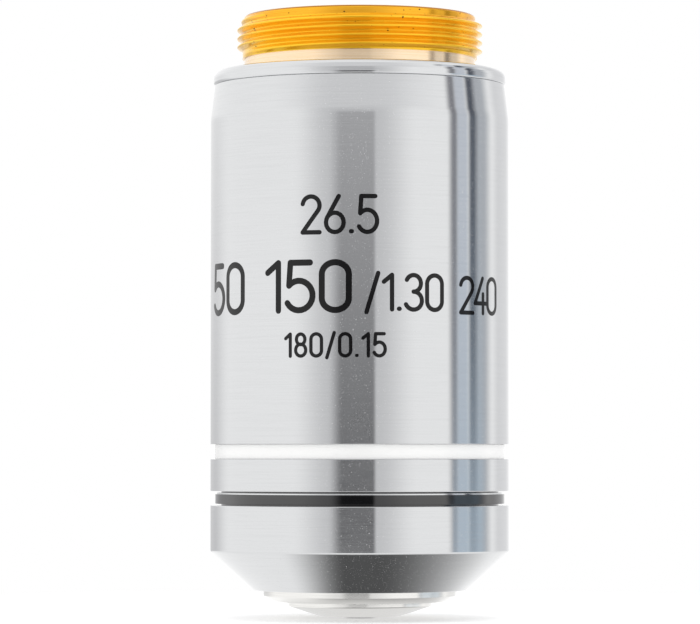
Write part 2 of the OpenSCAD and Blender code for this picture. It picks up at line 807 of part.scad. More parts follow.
module rear_doublet_flint() {
    element(REAR_DOUBLET, 1, rear_doublet_z);
}

module phase_cell() {
    cell(PLATES, phase_z, corrector_z - phase_z);
}

module phase_plate_lower() {
    element(PLATES, 0, phase_z);
}

// Absorbing film between the two plates
module phase_annulus() {
    color(black)
        ring(annulus_d + annulus_w, annulus_d - annulus_w,
            phase_z + vertex_rise(PLATES) + plate_t + cement_gap, film_t);
}

module phase_plate_upper() {
    element(PLATES, 1, phase_z);
}

module corrector_cell() {
    cell(CORRECTOR, corrector_z, rear_lens_z - corrector_z);
}

module corrector_crown() {
    element(CORRECTOR, 0, corrector_z);
}

module corrector_flint() {
    element(CORRECTOR, 1, corrector_z);
}

module rear_lens_cell() {
    cell(REAR_LENS, rear_lens_z, retainer_z - rear_lens_z);
}

module rear_lens() {
    element(REAR_LENS, 0, rear_lens_z);
}

// Screwed ring that clamps the stack of cells, with two slots for a spanner
module retaining_ring() {
    outer_d = cell_bore_d - 2 * seat_gap;
    color(black) difference() {
        ring(outer_d, retainer_d, retainer_z, retainer_h);
        translate([-outer_d / 2, -spanner_w / 2, retainer_z + retainer_h - spanner_h])
            cube([outer_d, spanner_w, spanner_h]);
    }
}

// Three headless screws that push the doublet's cell sideways
module centring_screws() {
    color(steel) for (a = [60, 180, 300])
        rotate(a) translate([0, 0, centring_z])
            radial_rod(centring_d, (cell_bore_d - centring_play) / 2, waist_d / 2 - seat_gap);
}

// Screw in the lens barrel whose plain head runs in the main body's slot
module guide_screw() {
    color(steel) translate([0, 0, guide_z]) {
        radial_rod(guide_thread_d, cell_bore_d / 2 + seat_gap, waist_d / 2);
        radial_rod(guide_d, waist_d / 2, body_d / 2);
    }
}

thread_ring();
main_body();
outer_sleeve();
white_band();
black_ring();
front_cap();
return_spring();
lens_barrel();
front_mount();
front_lens();
meniscus_cell();
meniscus_lens();
singlet_cell();
singlet_lens();
doublet_cell();
doublet_flint();
doublet_crown();
triplet_cell();
triplet_lower_crown();
triplet_flint();
triplet_upper_crown();
stop_spacer();
rear_doublet_cell();
rear_doublet_crown();
rear_doublet_flint();
phase_cell();
phase_plate_lower();
phase_annulus();
phase_plate_upper();
corrector_cell();
corrector_crown();
corrector_flint();
rear_lens_cell();
rear_lens();
retaining_ring();
centring_screws();
guide_screw();
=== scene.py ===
"""Looks of an oil-immersion microscope objective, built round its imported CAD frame.

The turned shells of the housing, the helical mounting thread, the filled numbers, the tip and the
return spring are modelled here. The other nodes keep their CAD shape and take a finish.
Sizes are in millimetres, and become metres when a piece is made.
"""

import json
import logging
import math
from dataclasses import dataclass, field, replace
from enum import Enum
from typing import NamedTuple, Sequence

import bmesh
import bpy
from bmesh.types import BMEdge, BMesh, BMVert
from bpy.types import Material, Node, NodeSocket, NodeTree, Object
from mathutils import Matrix, Vector


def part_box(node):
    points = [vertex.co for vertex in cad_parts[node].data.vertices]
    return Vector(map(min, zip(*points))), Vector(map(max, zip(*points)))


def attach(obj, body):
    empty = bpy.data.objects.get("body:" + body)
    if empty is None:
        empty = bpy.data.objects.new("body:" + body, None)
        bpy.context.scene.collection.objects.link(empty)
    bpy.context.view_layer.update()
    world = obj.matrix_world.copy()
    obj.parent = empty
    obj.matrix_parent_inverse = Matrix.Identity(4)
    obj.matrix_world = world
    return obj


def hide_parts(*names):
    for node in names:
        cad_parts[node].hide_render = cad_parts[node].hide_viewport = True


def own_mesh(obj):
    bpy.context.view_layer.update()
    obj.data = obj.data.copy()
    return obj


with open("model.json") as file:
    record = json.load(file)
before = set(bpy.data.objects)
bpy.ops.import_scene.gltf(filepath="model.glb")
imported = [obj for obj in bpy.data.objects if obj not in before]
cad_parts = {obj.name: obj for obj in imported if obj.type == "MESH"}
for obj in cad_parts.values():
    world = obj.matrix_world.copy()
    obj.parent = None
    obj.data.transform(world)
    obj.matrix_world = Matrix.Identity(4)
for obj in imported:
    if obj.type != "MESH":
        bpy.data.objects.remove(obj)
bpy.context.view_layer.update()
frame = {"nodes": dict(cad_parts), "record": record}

MM = 0.001
TURN_STEPS = 256
# Points closer than this become one: on a skin, and where two skins join.
MERGE_DISTANCE = 1e-4
JOIN_DISTANCE = 1e-3
# How close to a corner a straight stretch gets its extra point.
SUPPORT = 0.025
SHARP_ANGLE = math.radians(40)
# Blender's noise rarely gets past this value.
NOISE_TOP = 0.78
SPECK_SOFTNESS = 0.05
WHITE = (1, 1, 1, 1)

log = logging.getLogger("objective")


class Body(Enum):
    """The two bodies that the joint parts."""

    HOUSING = "housing"
    BARREL = "barrel"


# ---- Nodes and finishes ----


def linear(hex_colour: str) -> tuple[float, float, float, float]:
    """Turns an sRGB hex colour to linear RGBA.

    Args:
        hex_colour: the colour, such as "#c0a060".

    Returns:
        Its linear red, green, blue and an alpha of 1.
    """
    channels = [int(hex_colour[i : i + 2], 16) / 255 for i in (1, 3, 5)]
    red, green, blue = (
        c / 12.92 if c <= 0.04045 else ((c + 0.055) / 1.055) ** 2.4 for c in channels
    )
    return red, green, blue, 1.0


def add_node(tree: NodeTree, kind: str, inputs: dict | None = None, **settings: str) -> Node:
    """Adds a shader node.

    Args:
        tree: the node tree that it goes in.
        kind: its type, without the word ShaderNode.
        inputs: for each input, by name or number, a value or the output that it is linked to.
        settings: values of the node's own properties.

    Returns:
        The new node.
    """
    node = tree.nodes.new("ShaderNode" + kind)
    for name, value in settings.items():
        setattr(node, name, value)
    for key, value in (inputs or {}).items():
        if isinstance(value, NodeSocket):
            tree.links.new(value, node.inputs[key])
        else:
            node.inputs[key].default_value = value
    return node


def new_material(name: str) -> Material:
    """Makes an empty node material.

    Args:
        name: the material's name.

    Returns:
        The material, without nodes.
    """
    material = bpy.data.materials.new(name)
    material.use_nodes = True
    material.node_tree.nodes.clear()
    return material


def close_material(material: Material, surface: NodeSocket) -> Material:
    """Links a surface shader to the material's output and returns the material."""
    add_node(material.node_tree, "OutputMaterial", {"Surface": surface})
    return material


def piece_place(tree: NodeTree) -> tuple[NodeSocket, NodeSocket]:
    """Adds the place on the piece.

    Args:
        tree: the node tree.

    Returns:
        The place, and the same without its height.
    """
    place = add_node(tree, "TexCoord").outputs["Object"]
    flat = add_node(tree, "VectorMath", {0: place, 1: (1, 1, 0)}, operation="MULTIPLY")
    return place, flat.outputs["Vector"]


def azimuth_of(tree: NodeTree, place: NodeSocket) -> NodeSocket:
    """Adds a place's angle round the axis.

    Args:
        tree: the node tree.
        place: the place, or a direction from the object.

    Returns:
        The angle in degrees: 0 on the camera's side, 90 on its right.
    """
    axes = add_node(tree, "SeparateXYZ", {0: place}).outputs
    near = add_node(tree, "Math", {0: axes["Y"], 1: -1.0}, operation="MULTIPLY").outputs[0]
    angle = add_node(tree, "Math", {0: axes["X"], 1: near}, operation="ARCTAN2").outputs[0]
    return add_node(tree, "Math", {0: angle}, operation="DEGREES").outputs[0]


def soft_mask(tree: NodeTree, *limits: tuple[NodeSocket, float, float]) -> NodeSocket:
    """Multiplies soft steps into one mask.

    Args:
        tree: the node tree.
        limits: for each step its value, where it starts, and where it is full.

    Returns:
        The mask, 1 where every step is full.
    """
    mask = None
    for value, start, full in limits:
        step = add_node(
            tree, "MapRange", {"Value": value, "From Min": start, "From Max": full},
            interpolation_type="SMOOTHSTEP",
        ).outputs[0]
        if mask is None:
            mask = step
        else:
            mask = add_node(tree, "Math", {0: mask, 1: step}, operation="MULTIPLY").outputs[0]
    return mask


def turning_pattern(tree: NodeTree, spacing: float, around: float) -> NodeSocket:
    """Adds the fine rings that a lathe tool leaves.

    The rings follow the profile: they are stacked along a wall, and concentric on a flat face.

    Args:
        tree: the node tree.
        spacing: distance between rings, in millimetres.
        around: distance round the piece over which a ring fades and another starts.

    Returns:
        The pattern, about 0 to 1.
    """
    place, flat = piece_place(tree)
    radius = add_node(tree, "VectorMath", {0: flat}, operation="LENGTH").outputs["Value"]
    height = add_node(tree, "SeparateXYZ", {0: place}).outputs["Z"]
    # Less than 1, so that the rings still change across a cone of 45 degrees
    radius_share = 0.7
    along = add_node(
        tree, "Math", {0: radius, 1: radius_share, 2: height}, operation="MULTIPLY_ADD"
    ).outputs[0]
    ring = add_node(tree, "CombineXYZ", {"Z": along}).outputs[0]
    spread = add_node(
        tree, "VectorMath", {0: flat, 1: (spacing / around,) * 3, 2: ring},
        operation="MULTIPLY_ADD",
    ).outputs["Vector"]
    return add_node(
        tree, "TexNoise",
        {"Vector": spread, "Scale": 1 / (spacing * MM), "Detail": 3.0, "Roughness": 0.55},
    ).outputs["Fac"]


def speck_mask(tree: NodeTree, size: float, share: float) -> NodeSocket:
    """Adds a mask of small specks: dust, pits and handling marks.

    Args:
        tree: the node tree.
        size: size of a speck, in millimetres.
        share: how much of the surface they take, from 0 to 1.

    Returns:
        The mask, 1 inside a speck.
    """
    place = add_node(tree, "TexCoord").outputs["Object"]
    noise = add_node(
        tree, "TexNoise",
        {"Vector": place, "Scale": 1 / (size * MM), "Detail": 1.0, "Roughness": 0.4},
    ).outputs["Fac"]
    edge = NOISE_TOP - share
    return add_node(
        tree, "MapRange", {"Value": noise, "From Min": edge, "From Max": edge + SPECK_SOFTNESS}
    ).outputs[0]


def profile_tangent(tree: NodeTree) -> NodeSocket:
    """Adds the direction of the turned profile, across the tool's rings.

    Args:
        tree: the node tree.

    Returns:
        The direction.
    """
    _, flat = piece_place(tree)
    outward = add_node(tree, "VectorMath", {0: flat}, operation="NORMALIZE").outputs["Vector"]
    profile = add_node(tree, "VectorMath", {0: outward, 1: (0, 0, 1)}, operation="ADD")
    return profile.outputs["Vector"]


@dataclass(frozen=True)
class Finish:
    """A real surface finish, under the name of its material."""

    name: str

    def paint(self) -> Material:
        """Builds the node material."""
        raise NotImplementedError

    def material(self) -> Material:
        """Returns the node material, built on its first use."""
        return bpy.data.materials.get(self.name) or self.paint()


@dataclass(frozen=True)
class TurnedMetal(Finish):
    """Metal turned on a lathe: sharp round the axis, drawn out along the profile.

    A lacquer on it has a body, the share of the light that it scatters. Specks are pale dust, and
    soil is small dark marks, where the lacquer is nicked or dirty. Sizes are in millimetres.
    """

    colour: str
    shade: str
    roughness: float
    anisotropy: float
    ring_spacing: float
    ring_depth: float = 0.0003
    ring_run: float = 6.0
    spread: float = 0.03
    speck_size: float = 0.1
    specks: float = 0.02
    body: float = 0.0
    soil: float = 0.0
    soil_size: float = 0.3
    soil_colour: str = "#4e2c10"

    def paint(self) -> Material:
        """Builds the node material.

        Returns:
            The material.
        """
        material = new_material(self.name)
        tree = material.node_tree
        fine = turning_pattern(tree, self.ring_spacing, self.ring_run)
        worn = add_node(
            tree, "MapRange", {"Value": fine, "From Min": 0.45, "From Max": 0.8}
        ).outputs[0]
        colour = add_node(
            tree, "Mix", {0: worn, 6: linear(self.colour), 7: linear(self.shade)},
            data_type="RGBA",
        )
        if self.soil:
            marks = speck_mask(tree, self.soil_size, self.soil)
            colour = add_node(
                tree, "Mix", {0: marks, 6: colour.outputs[2], 7: linear(self.soil_colour)},
                data_type="RGBA",
            )
        dust = speck_mask(tree, self.speck_size, self.specks)
        bare = add_node(
            tree, "Math", {0: dust, 1: self.body - 1, 2: 1 - self.body},
            operation="MULTIPLY_ADD",
        ).outputs[0]
        roughness = add_node(
            tree, "MapRange",
            {
                "Value": fine, "From Min": 0.25, "From Max": 0.75,
                "To Min": self.roughness - self.spread, "To Max": self.roughness + self.spread,
            },
        ).outputs[0]
        bump = add_node(tree, "Bump", {"Height": fine, "Distance": self.ring_depth * MM})
        metal = add_node(
            tree, "BsdfPrincipled",
            {
                "Base Color": colour.outputs[2], "Metallic": bare, "Roughness": roughness,
                "Normal": bump.outputs[0], "Anisotropic": self.anisotropy,
                "Tangent": profile_tangent(tree),
            },
        )
        return close_material(material, metal.outputs[0])


@dataclass(frozen=True)
class Coating(Finish):
    """Enamel or lacquer: an even colour under its own gloss, with a soft waviness."""

    colour: str
    roughness: float
    ior: float = 1.5
    wave_size: float = 1.4
    wave_depth: float = 0.002

    def paint(self) -> Material:
        """Builds the node material.

        Returns:
            The material.
        """
        material = new_material(self.name)
        tree = material.node_tree
        place = add_node(tree, "TexCoord").outputs["Object"]
        flow = add_node(
            tree, "TexNoise",
            {"Vector": place, "Scale": 1 / (self.wave_size * MM), "Detail": 1.0},
        ).outputs["Fac"]
        bump = add_node(tree, "Bump", {"Height": flow, "Distance": self.wave_depth * MM})
        roughness = add_node(
            tree, "MapRange",
            {
                "Value": flow, "From Min": 0.3, "From Max": 0.7,
                "To Min": self.roughness * 0.8, "To Max": self.roughness * 1.2,
            },
        ).outputs[0]
        paint = add_node(
            tree, "BsdfPrincipled",
            {
                "Base Color": linear(self.colour), "Roughness": roughness, "IOR": self.ior,
                "Normal": bump.outputs[0],
            },
        )
        return close_material(material, paint.outputs[0])


@dataclass(frozen=True)
class Anodised(Finish):
    """Matt black anodised aluminium: a fine grain that hardly shines."""

    colour: str
    pale: str
    roughness: float
    metallic: float = 0.35
    ring_spacing: float = 0.12
    ring_run: float = 12.0
    ring_depth: float = 0.002

    def paint(self) -> Material:
        """Builds the node material.

        Returns:
            The material.
        """
        material = new_material(self.name)
        tree = material.node_tree
        rings = turning_pattern(tree, self.ring_spacing, self.ring_run)
        colour = add_node(
            tree, "Mix", {0: rings, 6: linear(self.colour), 7: linear(self.pale)},
            data_type="RGBA",
        )
        bump = add_node(tree, "Bump", {"Height": rings, "Distance": self.ring_depth * MM})
        metal = add_node(
            tree, "BsdfPrincipled",
            {
                "Base Color": colour.outputs[2], "Metallic": self.metallic,
                "Roughness": self.roughness, "Normal": bump.outputs[0],
            },
        )
        return close_material(material, metal.outputs[0])


@dataclass(frozen=True)
class CoatedGlass(Finish):
    """Polished optical glass with an antireflection coat, which gives a coloured gleam."""

    tint: str
    coat: str
    ior: float = 1.52
    haze_size: float = 2.0

    def paint(self) -> Material:
        """Builds the node material.

        Returns:
            The material.
        """
        material = new_material(self.name)
        tree = material.node_tree
        place = add_node(tree, "TexCoord").outputs["Object"]
        haze = add_node(
            tree, "TexNoise",
            {"Vector": place, "Scale": 1 / (self.haze_size * MM), "Detail": 2.0},
        ).outputs["Fac"]
        roughness = add_node(
            tree, "MapRange", {"Value": haze, "To Min": 0.01, "To Max": 0.04}
        ).outputs[0]
        glass = add_node(
            tree, "BsdfPrincipled",
            {
                "Base Color": linear(self.tint), "Roughness": roughness, "IOR": self.ior,
                "Transmission Weight": 1.0, "Specular Tint": linear(self.coat),
            },
        )
        return close_material(material, glass.outputs[0])


# Gold-lacquered brass, turned: warm also in the shade, and deeper in the roots of the thread.
LACQUERED_BRASS = TurnedMetal(
    "lacquered_brass_turned", "#ffcb2c", "#f6ae16", roughness=0.16, anisotropy=0.4,
    ring_spacing=0.06, body=0.35, soil=0.05,
)
# Painted shade on the plain lead-in: the same lacquer painted a deeper gold, for how its one
# reflection shows its own gold.
LEAD_IN_PAINTED_SHADE = replace(
    LACQUERED_BRASS, name="lacquered_brass_lead_in_painted_shade", colour="#fbb92c", shade="#ea9c12",
    body=0.3,
)
# Painted shade on the chamfer: the gold brass painted a brown gold, in place of a dark reflection
# there, with a soft gloss.
CHAMFER_PAINTED_SHADE = TurnedMetal(
    "brass_chamfer_painted_shade", "#b97a1e", "#9c6212", roughness=0.22, anisotropy=0.2,
    ring_spacing=0.1, body=0.3,
)
# Painted highlight on the neck: the gold brass painted a pale peach, in place of a bright
# reflection.
NECK_PAINTED_HIGHLIGHT = TurnedMetal(
    "brass_neck_painted_highlight", "#ffe6c4", "#fad8ac", roughness=0.14, anisotropy=0.4,
    ring_spacing=0.06, body=0.2,
)
# Hard chrome plate, finely turned: reflections stay sharp round the sleeve and blur along it. The
# real rings are finer than a render can show, and these are as fine as it shows.
TURNED_CHROME = TurnedMetal(
    "hard_chrome_fine_turned", "#d6d7d8", "#d1d2d3", roughness=0.11, anisotropy=1.0,
    ring_spacing=0.085, ring_depth=0.00022, spread=0.02, speck_size=0.07, specks=0.07,
)
# Chrome plate, polished after turning: brighter and closer to a mirror.
POLISHED_CHROME = TurnedMetal(
    "chrome_plate_polished", "#d8d9da", "#cfd0d1", roughness=0.1, anisotropy=0.6,
    ring_spacing=0.08,
)
# Nickel-plated tip, polished: a little warmer than the chrome.
NICKEL = TurnedMetal(
    "nickel_plate_polished", "#eae9e6", "#dfdedb", roughness=0.14, anisotropy=0.6,
    ring_spacing=0.08, ring_depth=0.0004,
)
# Spring steel, drawn and polished: grey, with lines along the wire.
SPRING_STEEL = TurnedMetal(
    "spring_steel_drawn", "#b9bbbe", "#8e9094", roughness=0.28, anisotropy=0.0,
    ring_spacing=0.15, ring_depth=0.001,
)
# White stoved enamel: an even bright white with a soft gloss.
WHITE_ENAMEL = Coating("white_enamel_stoved", "#fbfbfa", roughness=0.2, ior=1.7)
# Black chrome plate: a deep gloss that mirrors the studio darkly.
BLACK_CHROME = Coating("black_chrome_plate", "#050506", roughness=0.06, ior=1.85)
# Black enamel run into the engraving and wiped: dense and slightly glossy.
BLACK_FILL = Coating("black_enamel_filled", "#030304", roughness=0.14, ior=1.4)
# Black anodised aluminium, matt, so that no stray light comes off the cells.
BLACK_ANODISED = Anodised("aluminium_black_anodised", "#0d0d0f", "#19191c", roughness=0.5)
# Coated optical glass: clear, with a greenish violet gleam.
COATED_GLASS = CoatedGlass("optical_glass_coated", "#eef6f4", "#b9a8f0")
# Evaporated metal film: a dark ring between the plates.
METAL_FILM = Anodised("metal_film_evaporated", "#141416", "#1c1c20", roughness=0.3)

SLOT_FINISHES = {
    "gold_brass": LACQUERED_BRASS,
    "polished_chrome": POLISHED_CHROME,
    "turned_chrome": TURNED_CHROME,
    "white_enamel": WHITE_ENAMEL,
    "black_enamel": BLACK_CHROME,
    "spring_steel": SPRING_STEEL,
    "black_anodised": BLACK_ANODISED,
    "optical_glass": COATED_GLASS,
    "phase_film": METAL_FILM,
}
NODE_FINISHES = {"lens_barrel": NICKEL}


def dress_nodes() -> None:
    """Gives every CAD node the finish of its material slot."""
    for subpart in frame["record"]["subparts"]:
        finish = NODE_FINISHES.get(subpart["node"], SLOT_FINISHES[subpart["material_slot"]])
        for slot in frame["nodes"][subpart["node"]].material_slots:
            slot.material = finish.material()
        log.info("%s: %s", subpart["node"], finish.name)


# ---- Turned pieces ----


class Corner(NamedTuple):
    """A corner of a turned profile: radius, height, and the size of its rounding."""

    r: float
    z: float
    rounding: float = 0.0


class Patch(NamedTuple):
    """The part of a turned piece, by height and radius, that has another finish."""

    finish: Finish
    low: float
    high: float
    r_min: float = 0.0
    r_max: float = math.inf

    def holds(self, point: Vector) -> bool:
        """Tells whether a point lies in the patch."""
        radius = math.hypot(point.x, point.y)
        return self.low < point.z < self.high and self.r_min < radius < self.r_max


class NodeSize(NamedTuple):
    """A round CAD node's outer radius and its lowest and highest planes."""

    radius: float
    low: float
    high: float

    @classmethod
    def of(cls, node: str) -> "NodeSize":
        """Measures a CAD node through the frame."""
        low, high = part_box(node)
        return cls(high.x / MM, low.z / MM, high.z / MM)


def measured(node: str) -> NodeSize:
    """Makes a dataclass field that holds a CAD node's size."""
    return field(default_factory=lambda: NodeSize.of(node))


def ease(value: float, start: float, end: float) -> float:
    """Rises softly from 0 at start to 1 at end."""
    share = min(max((value - start) / (end - start), 0.0), 1.0)
    return share * share * (3 - 2 * share)


def draw_profile(corners: Sequence[Corner], closed: bool = True) -> BMesh:
    """Draws a profile as a wire in the XZ plane and rounds its corners.

    Each straight stretch with room for it gets a point close to both ends, which keeps it flat
    where it meets a rounding.

    Args:
        corners: the corners, in order.
        closed: whether the last corner joins the first.

    Returns:
        The wire.
    """
    mesh = bmesh.new()
    verts = [mesh.verts.new((c.r, 0, c.z)) for c in corners]
    for start, end in zip(verts, verts[1:]):
        mesh.edges.new((start, end))
    if closed:
        mesh.edges.new((verts[-1], verts[0]))
    for size in sorted({c.rounding for c in corners if c.rounding > 0}):
        bmesh.ops.bevel(
            mesh, geom=[v for v, c in zip(verts, corners) if c.rounding == size],
            offset=size, offset_type="OFFSET", segments=3, profile=0.5, affect="VERTICES",
            material=-1,
        )
    for edge in [e for e in mesh.edges if e.calc_length() > 4 * SUPPORT]:
        for vert in list(edge.verts):
            bmesh.utils.edge_split(edge, vert, SUPPORT / edge.calc_length())
    return mesh


def spin_full(mesh: BMesh) -> BMesh:
    """Spins a wire a full turn about Z into a closed skin.

    Args:
        mesh: the wire.

    Returns:
        The same mesh, with the skin.
    """
    bmesh.ops.spin(
        mesh, geom=mesh.verts[:] + mesh.edges[:], cent=(0, 0, 0), axis=(0, 0, 1),
        dvec=(0, 0, 0), angle=2 * math.pi, steps=TURN_STEPS, use_merge=True,
    )
    bmesh.ops.remove_doubles(mesh, verts=mesh.verts, dist=MERGE_DISTANCE)
    return mesh


def turn(*corners: Corner) -> BMesh:
    """Turns a closed profile into a ring or a disc, and returns its mesh."""
    return spin_full(draw_profile(corners))


def add_piece(
    name: str,
    mesh: BMesh,
    finish: Finish,
    body: Body,
    nodes: Sequence[str] = (),
    patches: Sequence[Patch] = (),
) -> Object:
    """Makes a piece of the object from a mesh in millimetres.

    Args:
        name: the piece's name.
        mesh: its mesh, which is used up.
        finish: its finish.
        body: the body that it rides on.
        nodes: the CAD nodes that it stands for.
        patches: the places that have another finish.

    Returns:
        The piece.
    """
    mesh.normal_update()
    bmesh.ops.recalc_face_normals(mesh, faces=mesh.faces)
    for face in mesh.faces:
        face.smooth = True
        place = face.calc_center_median()
        for i, patch in enumerate(patches, 1):
            if patch.holds(place):
                face.material_index = i
    for edge in mesh.edges:
        edge.smooth = len(edge.link_faces) == 2 and edge.calc_face_angle() < SHARP_ANGLE
    bmesh.ops.scale(mesh, vec=(MM, MM, MM), verts=mesh.verts)
    data = bpy.data.meshes.new(name)
    mesh.to_mesh(data)
    mesh.free()
    for each in (finish, *(patch.finish for patch in patches)):
        data.materials.append(each.material())
    piece = bpy.data.objects.new(name, data)
    bpy.context.scene.collection.objects.link(piece)
    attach(piece, body.value)
    if nodes:
        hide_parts(*nodes)
    log.info("%s: %d faces", name, len(data.polygons))
    return piece


@dataclass
class MountingThread:
    """The gold-coloured ring with its right-hand helical thread."""

    size: NodeSize = measured("thread_ring")
    pitch: float = 0.7056
    depth: float = 0.45
    flank_angle: float = 27.5
    crest_rounding: float = 0.058
    crest_z: float = 1.6
    thread_low: float = 1.0
    thread_high: float = 4.3
    run_in: tuple[float, float] = (1.25, 1.42)
    run_out: tuple[float, float] = (4.2, 3.95)
    lead_low: float = 3.84
    lead_step: float = 0.03
    lead_r: float = 9.55
    neck_r: float = 9.52
    screw_r: float = 9.1
    screw_top: float = -0.3
    bore_r: float = 7.7
    edge: float = 0.06
    lead_edge: float = 0.15

    @property
    def root_r(self) -> float:
        """Radius of the thread's roots."""
        return self.size.radius - self.depth

    def ridges(self) -> BMesh:
        """Winds the ridges: a row of them, spun once and raised by one pitch.

        Returns:
            The threaded band, from thread_low to thread_high, open inside.
        """
        flank = self.depth * math.tan(math.radians(self.flank_angle))
        crest = (self.pitch - 2 * flank) / 2
        below = math.ceil((self.crest_z - self.thread_low) / self.pitch) + 1
        count = below + math.ceil((self.thread_high - self.crest_z) / self.pitch) + 1
        corners = []
        for i in range(count):
            z = self.crest_z + (i - below) * self.pitch - flank - crest / 2
            corners += [
                Corner(self.root_r, z, self.crest_rounding),
                Corner(self.size.radius, z + flank, self.crest_rounding),
                Corner(self.size.radius, z + flank + crest, self.crest_rounding),
                Corner(self.root_r, z + 2 * flank + crest, self.crest_rounding),
            ]
        mesh = draw_profile(corners, closed=False)
        bmesh.ops.spin(
            mesh, geom=mesh.verts[:] + mesh.edges[:], cent=(0, 0, 0), axis=(0, 0, 1),
            dvec=(0, 0, self.pitch / TURN_STEPS), angle=2 * math.pi, steps=TURN_STEPS,
            use_merge=False,
        )
        for height in (self.lead_low, self.lead_low + self.lead_step):
            bmesh.ops.bisect_plane(
                mesh, geom=mesh.verts[:] + mesh.edges[:] + mesh.faces[:], dist=MERGE_DISTANCE,
                plane_co=(0, 0, height), plane_no=(0, 0, 1),
            )
        for vert in mesh.verts:
            self.settle(vert)
        bmesh.ops.remove_doubles(mesh, verts=mesh.verts, dist=MERGE_DISTANCE)
        return mesh

    def settle(self, vert: BMVert) -> None:
        """Holds a point between the band's ends, lets the ridge run out and cuts the lead-in.

        Args:
            vert: the point, which is moved.
        """
        z = min(max(vert.co.z, self.thread_low), self.thread_high)
        radius = math.hypot(vert.co.x, vert.co.y)
        turned = math.atan2(vert.co.y, vert.co.x) / (2 * math.pi)
        lap = round((vert.co.z - self.crest_z) / self.pitch - turned)
        crest = self.crest_z + (lap + turned) * self.pitch
        ridge = (radius - self.root_r) * ease(crest, *self.run_in) * ease(crest, *self.run_out)
        lead = min(max((z - self.lead_low) / self.lead_step, 0.0), 1.0)
        wanted = self.root_r + (self.lead_r - self.root_r) * lead + ridge
        vert.co.x *= wanted / radius
        vert.co.y *= wanted / radius
        vert.co.z = z

    def build(self) -> None:
        """Turns the rest of the ring and joins the ridges to it."""
        low, high = self.size.low, self.size.high
        chamfer = high - self.lead_edge
        mesh = draw_profile(
            [
                Corner(self.lead_r, self.thread_high),
                Corner(self.lead_r, chamfer, self.edge),
                Corner(self.lead_r - self.lead_edge, high, self.edge),
                Corner(self.bore_r, high, self.edge),
                Corner(self.bore_r, low, self.edge),
                Corner(self.screw_r, low, self.edge),
                Corner(self.screw_r, self.screw_top),
                Corner(self.neck_r, self.screw_top),
                Corner(self.neck_r, self.thread_low),
                Corner(self.root_r, self.thread_low),
            ],
            closed=False,
        )
        spin_full(mesh)
        ridges = self.ridges()
        band = bpy.data.meshes.new("thread_band")
        ridges.to_mesh(band)
        ridges.free()
        mesh.from_mesh(band)
        bpy.data.meshes.remove(band)
        bmesh.ops.remove_doubles(mesh, verts=mesh.verts, dist=JOIN_DISTANCE)
        add_piece(
            "mounting_thread", mesh, LACQUERED_BRASS, Body.HOUSING, ["thread_ring"],
            [
                # Painted highlight on the neck
                Patch(NECK_PAINTED_HIGHLIGHT, low, self.thread_low, self.neck_r - self.edge),
                # Painted shade on the chamfer
                Patch(CHAMFER_PAINTED_SHADE, chamfer, high, self.lead_r - self.lead_edge),
                # Painted shade on the plain lead-in
                Patch(LEAD_IN_PAINTED_SHADE, self.lead_low, chamfer, 0, self.lead_r + self.edge),
            ],
        )


